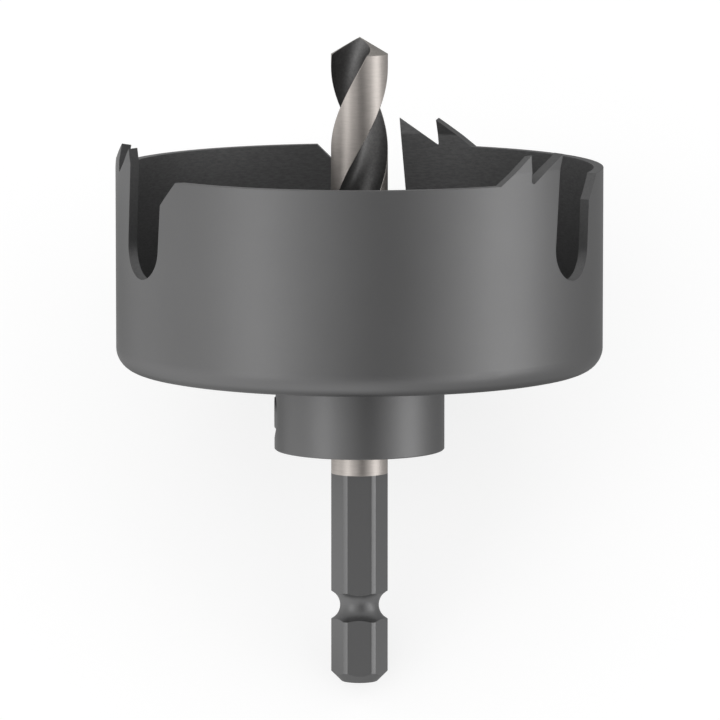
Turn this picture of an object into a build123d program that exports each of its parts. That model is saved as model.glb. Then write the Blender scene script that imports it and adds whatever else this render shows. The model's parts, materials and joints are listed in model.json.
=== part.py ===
from build123d import *
from math import asin, atan2, cos, degrees, hypot, radians, sin, tan
import os

# Hole saw for sheet metal: a thin toothed cup on a collar, and a pilot drill with a
# hexagon shank that a set screw clamps in the collar's bore.
# Sizes are millimetres and degrees. Each piece is drawn upright about the Z axis with
# the underside of the cup's base at Z = 0 and the teeth up. Azimuth 0 faces -Y and
# grows towards +X. The finished saw is then laid down as it comes to rest on a table:
# on the corner of its cup and the end of its shank, with the drill's point in the air.

# Cup
CUP_DIAMETER = 60.0
CUP_HEIGHT = 25.0       # underside of the base to the rim
SHEET = 1.2             # wall and base, pressed from one sheet
CORNER_RADIUS = 2.8     # outside corner between the wall and the base

# Chip slots, one per group of teeth, drawn on the plane that faces the slot
SLOT_AZIMUTHS = (-60.6, 61.3, 177.3)    # the spacing is uneven on the real saw
SLOT_WIDTH = 8.0        # between its two parallel sides
SLOT_DEPTH = 12.4       # below the rim, to the round bottom
LEAD_IN = 2.7           # 45 degree chamfer on the side away from the teeth

# Teeth, behind each slot
TEETH_PER_GROUP = 2
TOOTH_PITCH = 10.0      # azimuth from tip to tip
TOOTH_HEIGHT = 3.4      # above the rim, at the middle of the sheet
HOOK = 5.0              # forward lean of the cutting faces and of the slot
RELIEF = 34.0           # fall of a tooth's back
GULLET_RADIUS = 0.4
SET_HEIGHT = 2.0        # bent length below the tip
SET_ANGLE = 9.0         # outwards and inwards in turn

# Collar, with a spigot that is swaged into the cup's base
COLLAR_DIAMETER = 21.0
COLLAR_HEIGHT = 10.0
SPIGOT_DIAMETER = 14.0
SWAGE = 0.7             # spread of the spigot's end in the base's countersink
EDGE_BREAK = 0.1

# Set screw, M5 with a hexagon socket, pointing at the drill from azimuth -90
SCREW_DIAMETER = 5.0
SCREW_ABOVE_COLLAR_FOOT = 4.5
SCREW_OUTER_CHAMFER = 0.65
SCREW_INNER_CHAMFER = 0.5
COUNTERSINK_DIAMETER = 6.3
KEY_WIDTH = 2.5
KEY_DEPTH = 2.6
KEY_DRILL_ANGLE = 118.0

# Pilot drill, one rod from its point to its hexagon shank
DRILL_DIAMETER = 7.0
POINT_ABOVE_RIM = 16.0
POINT_ANGLE = 118.0
FLUTE_LEAD = 40.0       # right-hand helix
LAND_ANGLE = 90.0       # azimuth covered by each of the two lands
LAND_AZIMUTH = -83.4    # of one land's middle at the collar end of the flutes
WEB_AT_FOOT = 1.6       # between the flutes; it thins evenly
WEB_AT_POINT = 0.3
FLUTE_START = 3.0       # above the underside of the cup's base
FLUTE_RUN_OUT = 6.0
CLAMP_FLAT_DEPTH = 0.3
CLAMP_FLAT_LENGTH = 7.0
NECK_LENGTH = 3.0       # round part between the collar and the hexagon
HEX_WIDTH = 6.35        # quarter inch across flats
HEX_LENGTH = 26.0
GROOVE_FROM_END = 9.5
GROOVE_RADIUS = 2.0
GROOVE_FLOOR_DIAMETER = 4.8
END_CHAMFER = 1.25

# Clearances, on the radius
PRESS_GAP = 0.02        # spigot in the cup's base
BORE_GAP = 0.05         # drill in the collar
THREAD_GAP = 0.02       # screw in its hole, both drawn at the thread's outside

CUP_RADIUS = CUP_DIAMETER / 2
COLLAR_RADIUS = COLLAR_DIAMETER / 2
DRILL_RADIUS = DRILL_DIAMETER / 2
SCREW_RADIUS = SCREW_DIAMETER / 2
DRILL_TOP = CUP_HEIGHT + POINT_ABOVE_RIM
HEX_TOP = -COLLAR_HEIGHT - NECK_LENGTH
DRILL_END = HEX_TOP - HEX_LENGTH
SCREW_Z = -COLLAR_HEIGHT + SCREW_ABOVE_COLLAR_FOOT
CLAMP_RADIUS = DRILL_RADIUS - CLAMP_FLAT_DEPTH


def turned(outline):
    """Turn a closed outline of (radius, height) points, or a face, about Z."""
    face = outline if isinstance(outline, Sketch) else Polygon(*outline, align=None)
    return revolve(Plane.XZ * face, Axis.Z)


def nearest_corner(face, radius, height):
    """Find the corner of a flat outline that lies at a given place."""
    return face.vertices().sort_by_distance((radius, height))[0]


def cup_shell():
    """Draw the drawn cup with a countersunk hole for the collar's spigot."""
    inside = CUP_RADIUS - SHEET
    hole = SPIGOT_DIAMETER / 2 + PRESS_GAP
    outline = Polygon(
        (hole, 0),
        (CUP_RADIUS, 0),
        (CUP_RADIUS, CUP_HEIGHT),
        (inside, CUP_HEIGHT),
        (inside, SHEET),
        (hole + SWAGE, SHEET),
        (hole, SHEET - SWAGE),
        align=None,
    )
    outline = fillet(nearest_corner(outline, CUP_RADIUS, 0), CORNER_RADIUS)
    outline = fillet(nearest_corner(outline, inside, SHEET), CORNER_RADIUS - SHEET)
    return turned(outline)


def set_band(direction):
    """Draw the ring of sheet that teeth bent outwards (+1) or inwards (-1) lie in."""
    foot = CUP_HEIGHT - SHEET
    bend = CUP_HEIGHT + TOOTH_HEIGHT - SET_HEIGHT
    rise = 2 * SET_HEIGHT
    shift = direction * rise * tan(radians(SET_ANGLE))
    return turned([
        (CUP_RADIUS - SHEET, foot),
        (CUP_RADIUS, foot),
        (CUP_RADIUS, bend),
        (CUP_RADIUS + shift, bend + rise),
        (CUP_RADIUS - SHEET + shift, bend + rise),
        (CUP_RADIUS - SHEET, bend),
    ])


def through_wall(profile, fall=0):
    """Extrude a profile, drawn above the rim at azimuth 0, through the near wall.

    The cut is square to the sheet, so a tooth bent outwards has one that falls outwards.
    """
    middle = (0, SHEET / 2 - CUP_RADIUS, CUP_HEIGHT)
    plane = Plane(middle, x_dir=(1, 0, 0), z_dir=(0, -1, 0))
    outwards = (0, -cos(radians(fall)), -sin(radians(fall)))
    return extrude(plane * profile, CUP_RADIUS / 2, dir=outwards, both=True)


def slot_tool():
    """Draw the cutter of one chip slot, leaning with the hook and chamfered."""
    top = 2 * TOOTH_HEIGHT
    straight = SLOT_DEPTH - SLOT_WIDTH / 2
    length = (straight + top) / cos(radians(HOOK))
    middle = Pos(-straight * tan(radians(HOOK)), -straight) * Rot(0, 0, -HOOK)
    leaning = middle * (Circle(SLOT_WIDTH / 2) + Pos(0, length / 2) * Rectangle(SLOT_WIDTH, length))
    mouth = SLOT_WIDTH / 2 / cos(radians(HOOK)) + LEAD_IN
    lead_in = Polygon((mouth + top, top), (0, top), (0, -mouth), align=None)
    return through_wall(leaning + lead_in)


def tooth_blank(ahead, direction):
    """Draw one tooth with its tip at azimuth 0; ahead runs its back on past the tip."""
    heel = -TOOTH_HEIGHT / tan(radians(RELIEF))
    toe = -TOOTH_HEIGHT * tan(radians(HOOK)) if ahead == 0 else ahead
    top = TOOTH_HEIGHT + ahead * tan(radians(RELIEF))
    profile = Polygon((heel, 0), (heel, -SHEET), (toe, -SHEET), (toe, 0), (ahead, top), align=None)
    blank = through_wall(profile, direction * SET_ANGLE)
    if ahead == 0:
        blank += gullet_fill(toe)
    return blank


def gullet_fill(toe):
    """Draw the small web that rounds the corner between the rim and a tooth's face."""
    corner = Pos(toe, 0) * Rectangle(2 * GULLET_RADIUS, 2 * GULLET_RADIUS)
    round_off = Pos(toe + GULLET_RADIUS, GULLET_RADIUS) * Circle(GULLET_RADIUS)
    return through_wall(corner - round_off)


def make_cup():
    """Cut the slots in the toothed cup; each slot's side is its first tooth's face."""
    slot_side = SLOT_WIDTH / 2 / cos(radians(HOOK))
    first_tip = -slot_side + TOOTH_HEIGHT * tan(radians(HOOK))
    first_azimuth = degrees(asin(first_tip / CUP_RADIUS))
    cup = cup_shell()
    for slot_azimuth in SLOT_AZIMUTHS:
        for index in range(TEETH_PER_GROUP):
            direction = -1 if index % 2 else 1
            blank = tooth_blank(SHEET if index == 0 else 0, direction)
            azimuth = slot_azimuth + first_azimuth - index * TOOTH_PITCH
            cup += Rot(0, 0, azimuth) * blank & set_band(direction)
    for slot_azimuth in SLOT_AZIMUTHS:
        cup -= Rot(0, 0, slot_azimuth) * slot_tool()
    return cup


def across(piece):
    """Turn a piece drawn up the Z axis so that it points out along the set screw."""
    return Pos(0, 0, SCREW_Z) * Rot(0, -90, 0) * piece


def between(radius, low, high):
    """Draw a round bar about Z between two heights."""
    return Pos(0, 0, low) * Cylinder(radius, high - low, align=(Align.CENTER, Align.CENTER, Align.MIN))


def make_collar():
    """Turn the collar and spigot, then bore them for the drill and the set screw."""
    bore = DRILL_RADIUS + BORE_GAP
    spigot = SPIGOT_DIAMETER / 2
    body = turned([
        (bore, EDGE_BREAK - COLLAR_HEIGHT),
        (bore + EDGE_BREAK, -COLLAR_HEIGHT),
        (COLLAR_RADIUS - EDGE_BREAK, -COLLAR_HEIGHT),
        (COLLAR_RADIUS, EDGE_BREAK - COLLAR_HEIGHT),
        (COLLAR_RADIUS, 0),
        (spigot, 0),
        (spigot, SHEET - SWAGE),
        (spigot + SWAGE, SHEET),
        (bore + EDGE_BREAK, SHEET),
        (bore, SHEET - EDGE_BREAK),
    ])
    hole = between(SCREW_RADIUS + THREAD_GAP, 0, COLLAR_RADIUS + 1)
    sink_radius = COUNTERSINK_DIAMETER / 2
    sink_top = COLLAR_RADIUS + 1
    sink = turned([
        (0, COLLAR_RADIUS - sink_radius),
        (sink_radius + 1, sink_top),
        (0, sink_top),
    ])
    return body - across(hole + sink)


def make_screw():
    """Draw the headless set screw from its flat inner end to its socketed outer end."""
    body = turned([
        (0, CLAMP_RADIUS),
        (SCREW_RADIUS - SCREW_INNER_CHAMFER, CLAMP_RADIUS),
        (SCREW_RADIUS, CLAMP_RADIUS + SCREW_INNER_CHAMFER),
        (SCREW_RADIUS, COLLAR_RADIUS - SCREW_OUTER_CHAMFER),
        (SCREW_RADIUS - SCREW_OUTER_CHAMFER, COLLAR_RADIUS),
        (0, COLLAR_RADIUS),
    ])
    key_floor = COLLAR_RADIUS - KEY_DEPTH
    drilled = KEY_WIDTH / 2 / tan(radians(KEY_DRILL_ANGLE / 2))
    hexagon = RegularPolygon(KEY_WIDTH / 2, 6, major_radius=False)
    socket = Pos(0, 0, key_floor) * extrude(hexagon, KEY_DEPTH)
    socket += turned([(0, key_floor - drilled), (KEY_WIDTH / 2, key_floor), (0, key_floor)])
    return across(body - socket)


def flute_ring(web, height):
    """Draw a flute's circle through the land's edges, half the web off the axis."""
    half_web = web / 2
    edge_x = DRILL_RADIUS * cos(radians(LAND_ANGLE / 2))
    reach = (DRILL_RADIUS**2 - half_web**2) / (2 * (edge_x - half_web))
    turn = LAND_AZIMUTH + 360 * (height - FLUTE_START) / FLUTE_LEAD
    ring = Rot(0, 0, turn) * Pos(reach, 0, height) * Circle(reach - half_web)
    return ring.face().outer_wire()


def flute_tool():
    """Draw both flute cutters: round grooves on a helix that run out like a wheel's cut."""
    top = DRILL_TOP + 1
    foot = (0, 0, FLUTE_START)
    rings = [flute_ring(WEB_AT_FOOT, FLUTE_START), flute_ring(WEB_AT_POINT, top)]
    helix = Edge.make_helix(FLUTE_LEAD, top - FLUTE_START, DRILL_RADIUS, center=foot)
    flute = Solid.sweep_multi(rings, Edge.make_line(foot, (0, 0, top)), binormal=helix)
    floor_top = FLUTE_START + FLUTE_RUN_OUT
    core_radius = 0.45 * WEB_AT_FOOT
    run_out = TangentArc((core_radius, floor_top), (DRILL_RADIUS, FLUTE_START), tangent=(0, -1))
    below = FLUTE_START - 1
    rest = Polyline(
        (DRILL_RADIUS, FLUTE_START),
        (2 * DRILL_RADIUS, FLUTE_START),
        (2 * DRILL_RADIUS, below),
        (0, below),
        (0, floor_top),
        (core_radius, floor_top),
    )
    core = turned(make_face([run_out, rest]))
    return Part() + flute + Rot(0, 0, 180) * flute - core


def make_drill():
    """Turn the rod, then grind its hexagon, bit groove, clamping flat and flutes."""
    point = DRILL_RADIUS / tan(radians(POINT_ANGLE / 2))
    rod = turned([
        (0, DRILL_END),
        (DRILL_RADIUS - END_CHAMFER, DRILL_END),
        (DRILL_RADIUS, DRILL_END + END_CHAMFER),
        (DRILL_RADIUS, DRILL_TOP - point),
        (0, DRILL_TOP),
    ])
    hexagon = RegularPolygon(HEX_WIDTH / 2, 6, major_radius=False)
    around_hexagon = Circle(DRILL_DIAMETER) - hexagon
    rod -= Pos(0, 0, DRILL_END) * extrude(around_hexagon, HEX_LENGTH)
    groove_centre = GROOVE_FLOOR_DIAMETER / 2 + GROOVE_RADIUS
    rod -= turned(Pos(groove_centre, DRILL_END + GROOVE_FROM_END) * Circle(GROOVE_RADIUS))
    rod -= Pos(-CLAMP_RADIUS - DRILL_RADIUS, 0, SCREW_Z) * Box(
        DRILL_DIAMETER, DRILL_DIAMETER, CLAMP_FLAT_LENGTH
    )
    return rod - flute_tool()


def resting_tilt():
    """Find the drill's slope when the saw lies on its cup's corner and its shank's end."""
    flat = HEX_WIDTH / 2
    flat_end = DRILL_END + END_CHAMFER - (DRILL_RADIUS - flat)
    run = CORNER_RADIUS - flat_end
    rise = CUP_RADIUS - CORNER_RADIUS - flat
    return degrees(atan2(rise, run) + asin(CORNER_RADIUS / hypot(run, rise)))


def laid_down(pieces):
    """Lay the saw on the floor at Z = 0, its point towards +Y, with its box centred."""
    lying = {name: Rot(resting_tilt() - 90, 0, 0) * piece for name, piece in pieces.items()}
    boxes = [piece.bounding_box() for piece in lying.values()]
    middle_x = (min(box.min.X for box in boxes) + max(box.max.X for box in boxes)) / 2
    middle_y = (min(box.min.Y for box in boxes) + max(box.max.Y for box in boxes)) / 2
    lowest = min(box.min.Z for box in boxes)
    return {name: Pos(-middle_x, -middle_y, -lowest) * piece for name, piece in lying.items()}


saw = laid_down({
    "saw_cup": make_cup(),
    "hub_collar": make_collar(),
    "set_screw": make_screw(),
    "pilot_drill": make_drill(),
})
os.makedirs("parts", exist_ok=True)
for name, piece in saw.items():
    export_step(piece, f"parts/{name}.step")
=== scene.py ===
import json
from math import cos, degrees, radians, sin, tan

import bpy
from mathutils import Matrix, Vector

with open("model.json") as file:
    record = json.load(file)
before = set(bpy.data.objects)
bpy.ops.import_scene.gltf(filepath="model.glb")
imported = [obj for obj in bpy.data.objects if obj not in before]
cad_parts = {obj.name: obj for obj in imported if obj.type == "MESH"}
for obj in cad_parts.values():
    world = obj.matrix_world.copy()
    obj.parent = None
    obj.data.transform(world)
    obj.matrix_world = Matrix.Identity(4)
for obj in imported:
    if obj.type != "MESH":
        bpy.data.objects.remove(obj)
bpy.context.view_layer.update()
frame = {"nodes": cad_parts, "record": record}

bl_info = {
    "name": "Hole saw",
    "version": (1, 0, 0),
    "blender": (4, 5, 0),
    "location": "View3D > Sidebar > Hole saw",
    "description": "Finishes the steel of a hole saw and sets up the studio around it",
    "category": "Object",
}

MM = 0.001
TAB = "Hole saw"


def shank_mount():
    """Find the end of the shank and the direction from it towards the drill's point."""
    for mount in frame["record"]["mounts"]:
        if mount["name"] == "shank_end":
            return Vector(mount["pos_m"]), -Vector(mount["axis"])
    raise RuntimeError("the record names no shank_end mount")


# The saw's own directions: along the drill, to its side, and its front.
SHANK_END, UP = shank_mount()
SIDE = Vector((1, 0, 0))
FRONT = SIDE.cross(UP)


def span(node_name):
    """Measure a CAD piece along the drill, in millimetres from the shank's end."""
    corners = frame["nodes"][node_name].data.vertices
    heights = [(corner.co - SHANK_END).dot(UP) / MM for corner in corners]
    return min(heights), max(heights)


# Heights above the shank's end and radii from the drill's axis, in millimetres.
# A pair is where a finish starts and where it has wholly taken over.
CUP_FOOT = span("saw_cup")[0]
# Painted highlight and painted shade at the cup's foot corner: the underside heights, the corner heights
# and the radii they reach.
CUP_UNDERSIDE_PAINTED_SHADE = (CUP_FOOT + 0.1, CUP_FOOT + 1.2)
CUP_CORNER = (CUP_FOOT + 1.4, CUP_FOOT + 3.2)
CUP_CORNER_RADIUS = (25.0, 27.5)
CUP_WALL = (CUP_FOOT + 6.0, CUP_FOOT + 7.0)
CUP_MID_WALL = (CUP_FOOT + 8.0, CUP_FOOT + 22.0)
DRILL_TOP = span("pilot_drill")[1]
DRILL_CONE = (DRILL_TOP - 0.06, DRILL_TOP - 0.03)
DRILL_RADIUS = 3.5
DRILL_LAND = (DRILL_RADIUS - 0.05, DRILL_RADIUS - 0.02)
HEX_LENGTH = 26.0
HEX_TOP = (HEX_LENGTH - 0.02, HEX_LENGTH + 0.02)
HEX_CHAMFER = (2.0, 3.0)
POINT_SLOPE = 1 / tan(radians(59))
EDGE_ROUND = 0.1

# How squarely a surface faces something, from 1 to -1, in such pairs too.
FACES_AXIS = (-0.9, -0.8)
FACES_OUT_OR_IN = (0.8, 0.92)
FACES_SHANK_END = (-0.5, -0.3)
GROOVE_TURN = (-0.7, 0.7)

# Noises: waves to a millimetre, detail and roughness.
GRAIN = (9.0, 3.0, 0.6)
SPECKLE = (3.5, 2.0, 0.7)
CLOUD = (0.11, 3.0, 0.55)
# Lines round the axis: waves to a millimetre across it and along it.
DRAWN_LINES = (1.2, 5.0)
GROUND_LINES = (0.6, 4.0)
TURNED_LINES = 14.0
LINE_CONTRAST = (0.25, 0.75)

# The two tones that a finish runs between, as shares of its colour.
SATIN_TONES = (0.94, 1.06)
# Painted highlight above the foot, then painted shade on the underside of the cup's outer corner.
CORNER_HIGHLIGHT_AND_SHADE_TONES = (1.08, 0.50)
# Painted shade: the inside of the cup is darker, lightened by its drawn lines, towards its base, and by
# painted light where it faces the opening.
LINING_SHADE_TONES = (0.72, 1.07)
SAWN_TONES = (0.66, 0.98)
# Painted light on the shank: lighter where it faces its end, darker where it faces the point.
GROOVE_PAINTED_LIGHT_TONES = (1.13, 0.84)
CHAMFER_TONE = 0.85
FLANK_TONES = (0.65, 1.3)
FLUTE_TONES = (0.65, 1.35)
COAT_TINT = (0.7, 0.7, 0.7, 1)
DRILL_TINT = (0.6, 0.6, 0.6, 1)

# How much of the cloud, the speckle and the lines shows in a finish.
CLOUD_SHARE = 0.8
LINES_IN_LINING = 0.75
# The lining grows lighter towards the cup's base, and painted light lightens it where it leans to face
# the opening.
DEPTH_IN_LINING = 0.6
PAINTED_LIGHT_LEAN_IN_LINING = 1.4
TURNED_IN_COLLAR = 0.5

# What parts of a finish add to its roughness.
GRAIN_MATT = 0.16
LINING_MATT = 0.08
SAWN_MATT = 0.12
LINES_MATT = 0.14
FLUTE_MATT = 0.03
CONE_MATT = 0.1
HEX_MATT = -0.05
FLUTE_DULL = 0.2


class Value:
    """An output socket of a shader's node. Python's operators work on the numbers."""

    def __init__(self, shader, socket):
        self.shader = shader
        self.socket = socket

    def math(self, operation, **inputs):
        """Add a Math node."""
        return self.shader.node("ShaderNodeMath", {"operation": operation}, **inputs)

    def __add__(self, other):
        return self.math("ADD", _0=self, _1=other)

    def __radd__(self, other):
        return self.math("ADD", _0=other, _1=self)

    def __sub__(self, other):
        return self.math("SUBTRACT", _0=self, _1=other)

    def __rsub__(self, other):
        return self.math("SUBTRACT", _0=other, _1=self)

    def __mul__(self, other):
        return self.math("MULTIPLY", _0=self, _1=other)

    def __rmul__(self, other):
        return self.math("MULTIPLY", _0=other, _1=self)

    def __truediv__(self, other):
        return self.math("DIVIDE", _0=self, _1=other)

    def __rtruediv__(self, other):
        return self.math("DIVIDE", _0=other, _1=self)

    def sqrt(self):
        return self.math("SQRT", _0=self)

    def minimum(self, other):
        return self.math("MINIMUM", _0=self, _1=other)

    def step(self, start, end):
        """Rise smoothly from 0 where this value is start to 1 where it is end."""
        settings = {"interpolation_type": "SMOOTHSTEP"}
        return self.shader.node("ShaderNodeMapRange", settings, Value=self, From_Min=start, From_Max=end)


def find_input(node, name):
    """Find an input by its name, with _ for a space, or by its number after a _."""
    if name[0] == "_":
        return node.inputs[int(name[1:])]
    return node.inputs[name.replace("_", " ")]


def tone(colour, share=1.0):
    """Give a share of a property's colour."""
    return (share * colour[0], share * colour[1], share * colour[2], 1.0)


class Shader:
    """A material's or world's node tree, emptied, with one method that adds a node."""

    def __init__(self, owner):
        owner.use_nodes = True
        self.tree = owner.node_tree
        self.tree.nodes.clear()

    def node(self, kind, settings=None, out=0, **inputs):
        """Add a node, apply its settings first, then link or set its inputs by name."""
        node = self.tree.nodes.new(kind)
        for name, value in (settings or {}).items():
            setattr(node, name, value)
        for name, value in inputs.items():
            if isinstance(value, Value):
                self.tree.links.new(value.socket, find_input(node, name))
            else:
                find_input(node, name).default_value = value
        return Value(self, node.outputs[out]) if node.outputs else None

    def dot(self, vector, axis):
        """Measure a vector along a fixed direction."""
        settings = {"operation": "DOT_PRODUCT"}
        return self.node("ShaderNodeVectorMath", settings, "Value", _0=vector, _1=axis)

    def shift(self, vector, offset):
        """Take a fixed offset from a vector."""
        return self.node("ShaderNodeVectorMath", {"operation": "SUBTRACT"}, _0=vector, _1=offset)

    def mix(self, factor, first, second):
        """Mix two colours, which have sockets 6, 7 and 2 of the Mix node."""
        return self.node("ShaderNodeMix", {"data_type": "RGBA"}, 2, _0=factor, _6=first, _7=second)

    def tones(self, factor, colour, shares):
        """Run between two shares of a property's colour."""
        first, second = shares
        return self.mix(factor, tone(colour, first), tone(colour, second))

    def noise(self, vector, scale=1.0, detail=3.0, roughness=0.7):
        """Give noise from 0 to 1 around 0.5."""
        return self.node(
            "ShaderNodeTexNoise", Vector=vector, Scale=scale, Detail=detail, Roughness=roughness
        )

    def combine(self, x, y, z):
        """Join three numbers into a vector."""
        return self.node("ShaderNodeCombineXYZ", X=x, Y=y, Z=z)

    def bump(self, height, distance):
        """Raise the surface by a height from 0 to 1 times a distance, its edges rounded."""
        rounded = self.node("ShaderNodeBevel", {"samples": 6}, Radius=EDGE_ROUND * MM)
        return self.node("ShaderNodeBump", Height=height, Distance=distance, Strength=1.0, Normal=rounded)

    def surface(self, **inputs):
        """Finish a material with the main shader."""
        steel = self.node("ShaderNodeBsdfPrincipled", **inputs)
        self.node("ShaderNodeOutputMaterial", Surface=steel)


class SawPlace:
    """Where a point lies on the saw, in millimetres, as shader values."""

    def __init__(self, shader):
        self.shader = shader
        where = shader.node("ShaderNodeTexCoord", out="Object")
        from_end = shader.shift(where, SHANK_END)
        self.height = shader.dot(from_end, UP) / MM
        self.side = shader.dot(from_end, SIDE) / MM
        self.front = shader.dot(from_end, FRONT) / MM
        self.radius = (self.side * self.side + self.front * self.front).sqrt()
        self.point = shader.combine(self.side, self.front, self.height)
        normal = shader.node("ShaderNodeNewGeometry", out="True Normal")
        across = shader.dot(normal, SIDE) * self.side + shader.dot(normal, FRONT) * self.front
        # 1 where the surface faces away from the axis, -1 where it faces the axis.
        self.outward = across / self.radius
        # 1 where the surface faces the drill's point, -1 where it faces the shank's end.
        self.upward = shader.dot(normal, UP)

    def lines(self, across, along):
        """Give noise drawn out into broken lines round the axis."""
        stretched = self.shader.combine(self.side * across, self.front * across, self.height * along)
        return self.shader.noise(stretched)


def cup_steel(name, finish):
    """Make satin gunmetal steel, darker on the sawn edges and streaked inside the cup, with painted shade
    and light on the lining and a painted highlight and shade at the foot.
    """
    material = bpy.data.materials.new(name)
    shader = Shader(material)
    place = SawPlace(shader)
    grain = shader.noise(place.point, *GRAIN)
    speckle = shader.noise(place.point, *SPECKLE)
    cloud = shader.noise(place.point, *CLOUD)
    drawn = place.lines(*DRAWN_LINES).step(*LINE_CONTRAST)
    wall = place.height.step(*CUP_WALL)
    lining = (1 - place.outward.step(*FACES_AXIS)) * wall
    sawn = (1 - (place.outward * place.outward).step(*FACES_OUT_OR_IN)) * wall
    outer = place.radius.step(*CUP_CORNER_RADIUS)
    # Painted highlight just above the foot and painted shade on the corner's underside, on the outside of
    # the cup.
    corner = (1 - place.height.step(*CUP_CORNER)) * outer
    painted_underside_shade = (1 - place.height.step(*CUP_UNDERSIDE_PAINTED_SHADE)) * outer
    mottle = cloud * CLOUD_SHARE + speckle * (1 - CLOUD_SHARE)
    even = shader.tones(mottle, finish.colour, SATIN_TONES)
    satin = shader.mix(corner, even, shader.tones(painted_underside_shade, finish.colour, CORNER_HIGHLIGHT_AND_SHADE_TONES))
    # The lining is darkened by painted shade, lightened towards the cup's base and by painted light where
    # it leans to face the opening; its drawn lines are real streaks.
    deep = 1 - place.height.step(*CUP_MID_WALL)
    light = drawn * LINES_IN_LINING + deep * DEPTH_IN_LINING + place.upward * PAINTED_LIGHT_LEAN_IN_LINING
    walls = shader.mix(lining, satin, shader.tones(light, finish.colour, LINING_SHADE_TONES))
    shader.surface(
        Base_Color=shader.mix(sawn, walls, shader.tones(speckle, finish.colour, SAWN_TONES)),
        Metallic=1.0,
        Specular_Tint=COAT_TINT,
        Roughness=finish.satin(grain) + lining * LINING_MATT + sawn * SAWN_MATT,
        Normal=shader.bump(grain, finish.grain),
    )
    return material


def coated_steel(name, finish, turned_share=0.0):
    """Make satin gunmetal steel, with turned lines where the piece was turned."""
    material = bpy.data.materials.new(name)
    shader = Shader(material)
    place = SawPlace(shader)
    grain = shader.noise(place.point, *GRAIN)
    cloud = shader.noise(place.point, *CLOUD)
    across_lines = (place.height + place.radius) * TURNED_LINES
    turned = shader.noise(shader.combine(0.0, 0.0, across_lines), detail=2.0, roughness=0.5)
    relief = grain * (1 - turned_share) + turned * turned_share
    shader.surface(
        Base_Color=shader.tones(cloud, finish.colour, SATIN_TONES),
        Metallic=1.0,
        Specular_Tint=COAT_TINT,
        Roughness=finish.satin(grain),
        Normal=shader.bump(relief, finish.grain),
    )
    return material


def drill_steel(name, finish, coat):
    """Make ground lands and neck, blackened flutes and a gunmetal hexagon, its shank painted lighter
    where it faces its end and darker where it faces the point.
    """
    material = bpy.data.materials.new(name)
    shader = Shader(material)
    place = SawPlace(shader)
    grain = shader.noise(place.point, *GRAIN)
    speckle = shader.noise(place.point, *SPECKLE)
    rings = place.lines(*GROUND_LINES)
    # The point's cone is where height and radius together reach the drill's tip.
    cone = (place.height + place.radius * POINT_SLOPE).step(*DRILL_CONE)
    flute = (1 - place.radius.step(*DRILL_LAND)) * (1 - cone)
    shank = 1 - place.height.step(*HEX_TOP)
    ground = shader.mix(rings.step(*LINE_CONTRAST), tone(finish.ground_dark), tone(finish.ground))
    bright = shader.mix(cone, ground, shader.tones(speckle, finish.flank, FLANK_TONES))
    body = shader.mix(flute, bright, shader.tones(speckle, finish.flute, FLUTE_TONES))
    end = (1 - place.upward.step(*FACES_SHANK_END)) * (1 - place.height.step(*HEX_CHAMFER))
    # Painted light: the shank is lighter where it faces its end and darker where it faces the point.
    shank_painted_light = shader.tones(place.upward.step(*GROOVE_TURN), coat.colour, GROOVE_PAINTED_LIGHT_TONES)
    hexagon = shader.mix(end, shank_painted_light, tone(coat.colour, CHAMFER_TONE))
    worked = finish.roughness + (rings - 0.5) * LINES_MATT + flute * FLUTE_MATT + cone * CONE_MATT
    satin = coat.satin(grain) + HEX_MATT
    relief = rings * (1 - flute) * (1 - shank) + grain * (flute + shank)
    shader.surface(
        Base_Color=shader.mix(shank, body, hexagon),
        Metallic=1 - flute * FLUTE_DULL,
        Specular_Tint=DRILL_TINT,
        Roughness=worked * (1 - shank) + satin * shank,
        Normal=shader.bump(relief, finish.line_depth),
    )
    return material


def dress(node_name, material):
    """Give a CAD piece one material."""
    piece = frame["nodes"][node_name]
    if not piece.material_slots:
        raise RuntimeError(f"{node_name} has no material slot")
    for slot in piece.material_slots:
        slot.material = material


class SawCoat(bpy.types.PropertyGroup):
    """The satin gunmetal surface of the cup, the collar and the hexagon."""

    colour: bpy.props.FloatVectorProperty(
        name="Colour",
        description="Colour of the heat-treated steel",
        subtype="COLOR",
        default=(0.170, 0.170, 0.171),
        min=0,
        max=1,
    )
    roughness: bpy.props.FloatProperty(
        name="Roughness",
        description="How matt the satin surface is",
        subtype="FACTOR",
        default=0.46,
        min=0,
        max=1,
    )
    grain: bpy.props.FloatProperty(
        name="Grain", description="Depth of the satin grain", default=0.004 * MM, min=0, unit="LENGTH"
    )

    def satin(self, grain):
        """Let the grain make the surface more or less matt."""
        return self.roughness + (grain - 0.5) * GRAIN_MATT


class DrillFinish(bpy.types.PropertyGroup):
    """The ground and blackened surfaces of the pilot drill."""

    ground: bpy.props.FloatVectorProperty(
        name="Ground steel",
        description="Colour of the lands and the neck",
        subtype="COLOR",
        default=(0.50, 0.462, 0.434),
        min=0,
        max=1,
    )
    ground_dark: bpy.props.FloatVectorProperty(
        name="Grinding lines",
        description="Colour of the darker grinding lines",
        subtype="COLOR",
        default=(0.43, 0.398, 0.372),
        min=0,
        max=1,
    )
    flank: bpy.props.FloatVectorProperty(
        name="Flanks",
        description="Colour of the ground faces of the point",
        subtype="COLOR",
        default=(0.34, 0.32, 0.30),
        min=0,
        max=1,
    )
    flute: bpy.props.FloatVectorProperty(
        name="Flutes",
        description="Colour of the blackened flutes",
        subtype="COLOR",
        default=(0.144, 0.142, 0.141),
        min=0,
        max=1,
    )
    roughness: bpy.props.FloatProperty(
        name="Roughness",
        description="How matt the ground steel is",
        subtype="FACTOR",
        default=0.40,
        min=0,
        max=1,
    )
    line_depth: bpy.props.FloatProperty(
        name="Line depth",
        description="Depth of the grinding lines",
        default=0.003 * MM,
        min=0,
        unit="LENGTH",
    )


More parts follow.
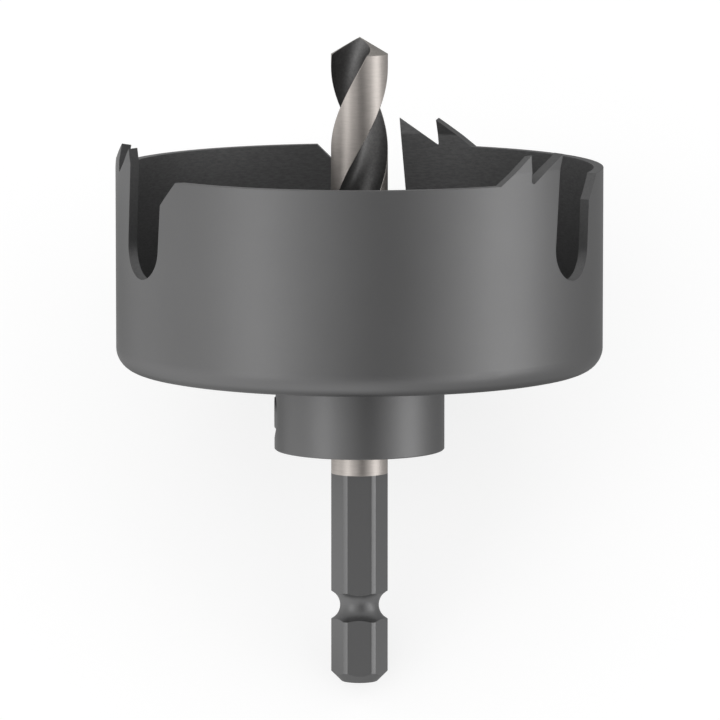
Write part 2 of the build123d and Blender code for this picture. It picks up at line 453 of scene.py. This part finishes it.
class Studio(bpy.types.PropertyGroup):
    """The camera, the lamps and the floor."""

    lens: bpy.props.FloatProperty(
        name="Lens", description="Focal length on a 36 mm sensor", default=371.7, unit="CAMERA"
    )
    distance: bpy.props.FloatProperty(
        name="Distance",
        description="From the camera to the saw's axis",
        default=0.9172,
        unit="LENGTH",
    )
    raised: bpy.props.FloatProperty(
        name="Raised",
        description="How far the camera looks down on the rim",
        subtype="ANGLE",
        default=radians(7.14),
    )
    aim: bpy.props.FloatProperty(
        name="Aim",
        description="Height of the view's middle above the cup's base",
        default=1.013 * MM,
        unit="LENGTH",
    )
    aside: bpy.props.FloatProperty(
        name="Aside",
        description="How far right of the axis the view's middle is",
        default=0.067 * MM,
        unit="LENGTH",
    )
    sky: bpy.props.FloatProperty(
        name="Surroundings", description="Brightness of the white studio", default=0.85, min=0
    )
    shade: bpy.props.FloatProperty(
        name="Shade", description="Brightness of the unlit gap behind the camera", default=0.13, min=0
    )
    left_power: bpy.props.FloatProperty(
        name="Left box", description="Power of the left soft box", default=0.93, min=0, unit="POWER"
    )
    right_power: bpy.props.FloatProperty(
        name="Right box", description="Power of the right soft box", default=2.62, min=0, unit="POWER"
    )


class HOLE_SAW_OT_finish_cup(bpy.types.Operator):
    """Give the cup its satin gunmetal steel"""

    bl_idname = "hole_saw.finish_cup"
    bl_label = "Finish the cup"

    def execute(self, context):
        dress("saw_cup", cup_steel("cup_gunmetal", context.scene.saw_coat))
        return {"FINISHED"}


class HOLE_SAW_OT_finish_collar(bpy.types.Operator):
    """Give the collar its turned gunmetal steel"""

    bl_idname = "hole_saw.finish_collar"
    bl_label = "Finish the collar"

    def execute(self, context):
        steel = coated_steel("collar_gunmetal", context.scene.saw_coat, TURNED_IN_COLLAR)
        dress("hub_collar", steel)
        return {"FINISHED"}


class HOLE_SAW_OT_finish_screw(bpy.types.Operator):
    """Give the set screw its steel"""

    bl_idname = "hole_saw.finish_screw"
    bl_label = "Finish the set screw"

    def execute(self, context):
        dress("set_screw", coated_steel("screw_gunmetal", context.scene.saw_coat))
        return {"FINISHED"}


class HOLE_SAW_OT_finish_drill(bpy.types.Operator):
    """Give the pilot drill its ground lands, black flutes and gunmetal hexagon"""

    bl_idname = "hole_saw.finish_drill"
    bl_label = "Finish the pilot drill"

    def execute(self, context):
        scene = context.scene
        dress("pilot_drill", drill_steel("drill_steel", scene.drill_finish, scene.saw_coat))
        return {"FINISHED"}


# The unlit gap that the steel reflects as its dark stripe: its middle in degrees
# round and above the saw's rim, its half width and half length as sines, and how
# far the sine of its length leans to the front.
GAP_MIDDLE = (12.0, -7.0)
GAP_HALF = (0.40, 0.80)
GAP_LEAN = 0.12
GAP_EDGE = (0.35, 1.0)
GAP_SIDE_OF_WORLD = (0.0, 0.2)

# The soft boxes: degrees round and above the rim, width and length in metres.
LEFT_BOX = (-49, -5, 0.37, 0.7)
RIGHT_BOX = (76, -14, 0.66, 0.9)
BOX_DISTANCE = 0.9

# The floor in metres, the way to its back, its paper, and how brightly it shows in steel.
FLOOR_HALF = 4.0
FLOOR_BACK = Vector((0, 1, 0))
FLOOR_PAPER = (0.3, 0.3, 0.3, 1)
FLOOR_GLOW = 0.77
WHITE = (1, 1, 1, 1)
# Painted reflection: the floor's glow in the steel is duller on the right, from one side position to
# another.
PAINTED_DULL_RIGHT = (-20.0, 45.0)
PAINTED_DULL_SHARE = 0.52
# Painted reflections on the floor's glow, seen only in the steel: darker and lighter patches on its left,
# with the middle and the half widths of each patch in millimetres, and how much brighter it is than the
# floor round it.
PAINTED_REFLECTION_PATCHES = (
    ((-51.0, 21.0), (19.0, 24.0), -0.6),
    ((-36.0, -3.0), (15.0, 13.0), -0.6),
    ((-100.0, 15.0), (55.0, 70.0), 0.3),
    ((-23.0, -21.0), (20.0, 24.0), 0.3),
)
PATCH_EDGE = (0.4, 1.0)


def around(azimuth, raised):
    """Give a direction by its degrees round the saw from its front, and its rise."""
    level = FRONT * cos(radians(azimuth)) + SIDE * sin(radians(azimuth))
    return (level * cos(radians(raised)) + UP * sin(radians(raised))).normalized()


def place_facing(thing, middle, back, right, distance):
    """Put a camera or lamp at a distance from a point, facing it, with its right side set."""
    turn = Matrix((right, back.cross(right), back)).transposed().to_4x4()
    thing.matrix_world = Matrix.Translation(middle + back * distance) @ turn


def add_camera(scene, studio):
    """Put the camera where the photograph was taken from."""
    lens = bpy.data.cameras.new("camera")
    lens.lens = studio.lens
    lens.sensor_width = 36.0
    lens.sensor_fit = "HORIZONTAL"
    lens.clip_end = 100.0
    camera = bpy.data.objects.new("camera", lens)
    scene.collection.objects.link(camera)
    scene.camera = camera
    middle = SHANK_END + UP * (CUP_FOOT * MM + studio.aim) + SIDE * studio.aside
    place_facing(camera, middle, around(0, degrees(studio.raised)), SIDE, studio.distance)


def add_lamp(scene, name, box, watts):
    """Hang a soft box that faces the cup, its length along the saw's axis."""
    azimuth, rise, width, length = box
    light = bpy.data.lights.new(name, "AREA")
    light.shape = "RECTANGLE"
    light.size = width
    light.size_y = length
    light.energy = watts
    lamp = bpy.data.objects.new(name, light)
    scene.collection.objects.link(lamp)
    cup = SHANK_END + UP * CUP_FOOT * MM
    back = around(azimuth, rise)
    place_facing(lamp, cup, back, UP.cross(back).normalized(), BOX_DISTANCE)


def add_surroundings(scene, studio):
    """Make a white studio with one soft unlit gap on the camera's side."""
    world = bpy.data.worlds.new("studio")
    scene.world = world
    shader = Shader(world)
    look = shader.node("ShaderNodeTexCoord", out="Generated")
    camera = shader.node("ShaderNodeLightPath", out="Is Camera Ray")
    gap = around(*GAP_MIDDLE)
    half_width, half_length = GAP_HALF
    wide = shader.dot(look, UP.cross(gap).normalized()) / half_width
    tall = shader.dot(look, UP + FRONT * GAP_LEAN) / half_length
    same_side = shader.dot(look, gap).step(*GAP_SIDE_OF_WORLD)
    inside = (1 - (wide * wide + tall * tall).sqrt().step(*GAP_EDGE)) * same_side
    light = studio.sky + inside * (studio.shade - studio.sky)
    strength = light * (1 - camera) + camera
    backdrop = shader.node("ShaderNodeBackground", Color=WHITE, Strength=strength)
    shader.node("ShaderNodeOutputWorld", Surface=backdrop)


def patch(side, depth, middle, half):
    """Give 1 in an elliptic patch of the floor, falling to 0 at its edge."""
    across = (side - middle[0]) / half[0]
    along = (depth - middle[1]) / half[1]
    return 1 - (across * across + along * along).sqrt().step(*PATCH_EDGE)


def white_floor():
    """Make paper that is white to the camera and keeps the saw's shadow, its glow in the steel painted
    duller on the right and in darker and lighter patches.
    """
    material = bpy.data.materials.new("white_floor")
    shader = Shader(material)
    camera, glossy, through = [
        shader.node("ShaderNodeLightPath", out=f"Is {kind} Ray")
        for kind in ("Camera", "Glossy", "Transmission")
    ]
    where = shader.node("ShaderNodeTexCoord", out="Object")
    side = shader.dot(where, SIDE / MM)
    depth = shader.dot(where, FLOOR_BACK / MM)
    # Painted reflection: the glow the steel sees is duller on the right, and darker and lighter in
    # patches on the left.
    reflected_with_painted_patches = 1 - side.step(*PAINTED_DULL_RIGHT) * PAINTED_DULL_SHARE
    for middle, half, gain in PAINTED_REFLECTION_PATCHES:
        reflected_with_painted_patches = reflected_with_painted_patches + patch(side, depth, middle, half) * gain
    shown = camera + (glossy + through).minimum(1.0) * reflected_with_painted_patches
    paper = shader.node("ShaderNodeBsdfDiffuse", Color=FLOOR_PAPER)
    glow = shader.node("ShaderNodeEmission", Color=WHITE, Strength=shown * FLOOR_GLOW)
    both = shader.node("ShaderNodeAddShader", _0=paper, _1=glow)
    shader.node("ShaderNodeOutputMaterial", Surface=both)
    return material


def add_floor(scene):
    """Lay the white floor."""
    half = FLOOR_HALF
    corners = [(-half, -half, 0), (half, -half, 0), (half, half, 0), (-half, half, 0)]
    mesh = bpy.data.meshes.new("floor")
    mesh.from_pydata(corners, [], [(0, 1, 2, 3)])
    mesh.materials.append(white_floor())
    floor = bpy.data.objects.new("floor", mesh)
    scene.collection.objects.link(floor)


class HOLE_SAW_OT_set_studio(bpy.types.Operator):
    """Set up the floor, the white surroundings, the soft boxes and the camera"""

    bl_idname = "hole_saw.set_studio"
    bl_label = "Set up the studio"

    def execute(self, context):
        scene = context.scene
        studio = scene.studio
        scene.view_settings.view_transform = "Standard"
        add_floor(scene)
        add_surroundings(scene, studio)
        add_lamp(scene, "left_box", LEFT_BOX, studio.left_power)
        add_lamp(scene, "right_box", RIGHT_BOX, studio.right_power)
        add_camera(scene, studio)
        return {"FINISHED"}


STEPS = (
    HOLE_SAW_OT_finish_cup,
    HOLE_SAW_OT_finish_collar,
    HOLE_SAW_OT_finish_screw,
    HOLE_SAW_OT_finish_drill,
    HOLE_SAW_OT_set_studio,
)
GROUPS = {"saw_coat": SawCoat, "drill_finish": DrillFinish, "studio": Studio}


class VIEW3D_PT_hole_saw(bpy.types.Panel):
    """List the steps that dress the hole saw"""

    bl_label = TAB
    bl_space_type = "VIEW_3D"
    bl_region_type = "UI"
    bl_category = TAB

    def draw(self, context):
        for step in STEPS:
            self.layout.operator(step.bl_idname)


def register():
    """Make the property groups, operators and panel known."""
    for name, group in GROUPS.items():
        bpy.utils.register_class(group)
        setattr(bpy.types.Scene, name, bpy.props.PointerProperty(type=group))
    for step in STEPS:
        bpy.utils.register_class(step)
    bpy.utils.register_class(VIEW3D_PT_hole_saw)


def unregister():
    """Take away what register added."""
    bpy.utils.unregister_class(VIEW3D_PT_hole_saw)
    for step in reversed(STEPS):
        bpy.utils.unregister_class(step)
    for name, group in reversed(GROUPS.items()):
        delattr(bpy.types.Scene, name)
        bpy.utils.unregister_class(group)


def main():
    """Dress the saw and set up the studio."""
    register()
    bpy.ops.hole_saw.finish_cup()
    bpy.ops.hole_saw.finish_collar()
    bpy.ops.hole_saw.finish_screw()
    bpy.ops.hole_saw.finish_drill()
    bpy.ops.hole_saw.set_studio()


if __name__ == "__main__":
    main()
